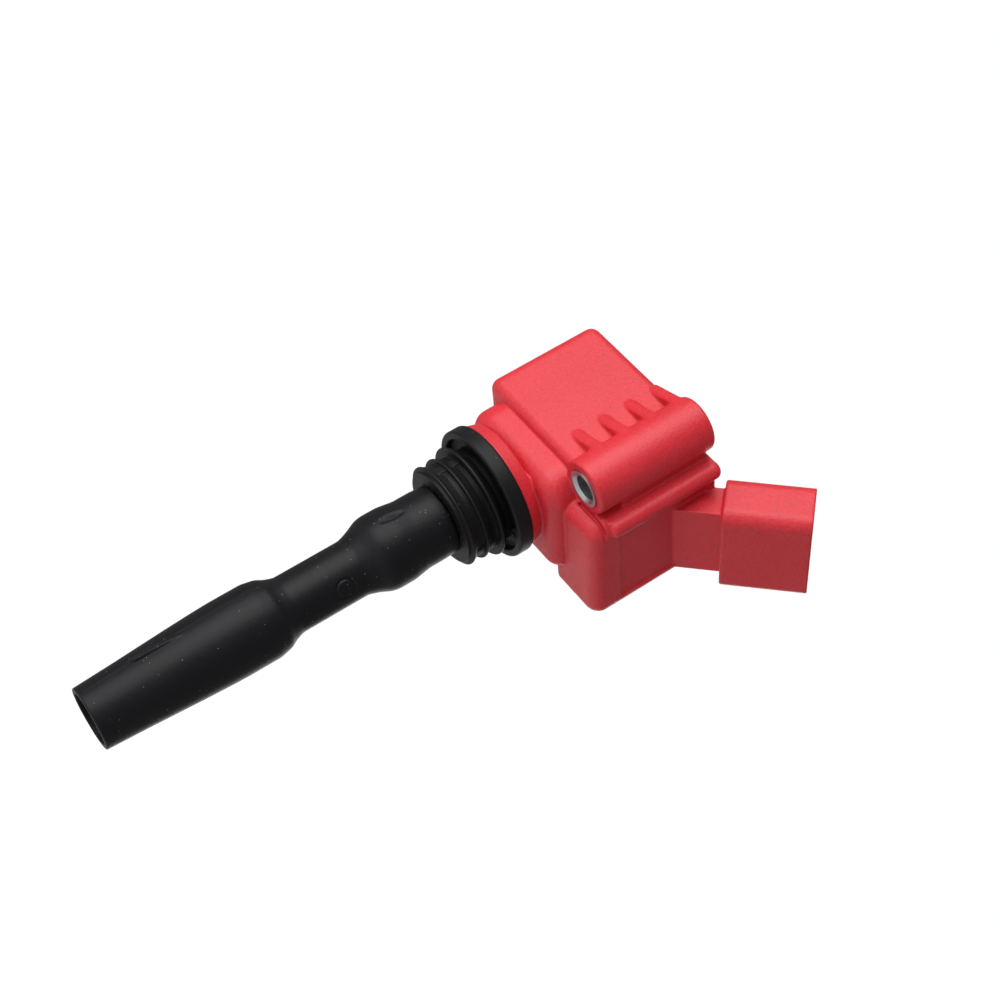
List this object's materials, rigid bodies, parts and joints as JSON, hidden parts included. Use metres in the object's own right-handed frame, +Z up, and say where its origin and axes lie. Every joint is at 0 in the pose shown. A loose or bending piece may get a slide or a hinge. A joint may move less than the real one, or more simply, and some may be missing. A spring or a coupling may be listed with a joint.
{
  "type": "ignition coil",
  "caption": "Plug-top ignition coil: moulded head with bolt boss and slanted connector, well seal collar and long rubber spark plug boot.",
  "frame": {"origin": "where the plug well's axis crosses the seat plane of the mounting bush", "axes": "+Z up the well axis from the boot to the head, +X towards the connector, -Y out of the large flat face"},
  "size_m": [0.077, 0.0497, 0.1777],
  "materials": {
    "housing_plastic": "fine spark-eroded grain",
    "bush_steel": "turned, zinc plated",
    "seal_rubber": "moulded, matt",
    "boot_rubber": "moulded, satin",
    "carrier_plastic": "moulded",
    "board_laminate": "glass-fibre laminate",
    "chip_plastic": "moulded",
    "spreader_aluminium": "rolled",
    "capacitor_plastic": "dipped",
    "core_steel": "stacked laminations",
    "magnet": "sintered",
    "bobbin_plastic": "moulded",
    "winding_copper": "enamelled wire",
    "contact_brass": "pressed",
    "terminal_brass": "tin plated",
    "resistor_ceramic": "fired",
    "tube_plastic": "moulded",
    "spring_steel": "drawn wire",
    "potting_resin": "cast, level"
  },
  "bodies": {
    "base": {"centre_core": "core_steel", "contact_spring": "spring_steel", "core_cushion_lower": "seal_rubber", "core_cushion_upper": "seal_rubber", "core_magnet": "magnet", "diode_lead": "winding_copper", "driver_board": "board_laminate", "heat_spreader": "spreader_aluminium", "housing": "housing_plastic", "hv_diode": "chip_plastic", "hv_terminal": "contact_brass", "insulator_tube": "tube_plastic", "mounting_bush": "bush_steel", "outer_core": "core_steel", "potting_compound": "potting_resin", "power_transistor": "chip_plastic", "primary_bobbin": "bobbin_plastic", "primary_lead_lower": "winding_copper", "primary_lead_upper": "winding_copper", "primary_winding": "winding_copper", "resistor_cap_lower": "contact_brass", "resistor_cap_upper": "contact_brass", "seal_collar": "seal_rubber", "secondary_bobbin": "bobbin_plastic", "secondary_winding": "winding_copper", "suppression_capacitor": "capacitor_plastic", "suppression_resistor": "resistor_ceramic", "terminal_1": "terminal_brass", "terminal_2": "terminal_brass", "terminal_3": "terminal_brass", "terminal_4": "terminal_brass", "terminal_carrier": "carrier_plastic"},
    "contact_cap": {"plug_contact_cap": "contact_brass"},
    "boot": {"boot": "boot_rubber"}
  },
  "joints": [
    {"name": "cap_press", "type": "slide", "parent": "base", "child": "contact_cap", "axis": [0, 0, 1], "range_m": [0, 0.004], "stiffness_N_per_m": 400, "springref_m": -0.003, "deforming": ["contact_spring"]},
    {"name": "boot_pull", "type": "slide", "parent": "base", "child": "boot", "axis": [0, 0, -1], "range_m": [0, 0.11]}
  ]
}
